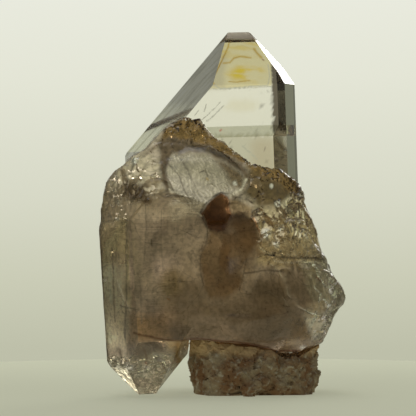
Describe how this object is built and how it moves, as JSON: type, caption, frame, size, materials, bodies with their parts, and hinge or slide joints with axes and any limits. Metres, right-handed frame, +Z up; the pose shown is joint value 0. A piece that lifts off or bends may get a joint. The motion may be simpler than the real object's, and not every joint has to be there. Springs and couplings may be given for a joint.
{
  "type": "quartz crystal cluster",
  "caption": "Natural cluster of pale smoky-lilac amethyst: a clear chisel-tipped crystal standing in etched intergrown crystals on a stained rock base.",
  "frame": {"origin": "middle of the bounding box at the level that the cluster rests on", "axes": "+Z up, along the height of the clear crystal; +X to the right and -Y towards the viewer, as the cluster is shown"},
  "size_m": [0.0402, 0.024, 0.0596],
  "materials": {
    "quartz": "clear to cloudy pale smoky-lilac quartz, glassy flat faces above, etched and frosted below",
    "matrix_rock": "rough granular rock, tan and orange-brown with iron stain"
  },
  "bodies": {
    "root": {"crystal_cluster": "quartz", "matrix_base": "matrix_rock"}
  },
  "joints": []
}
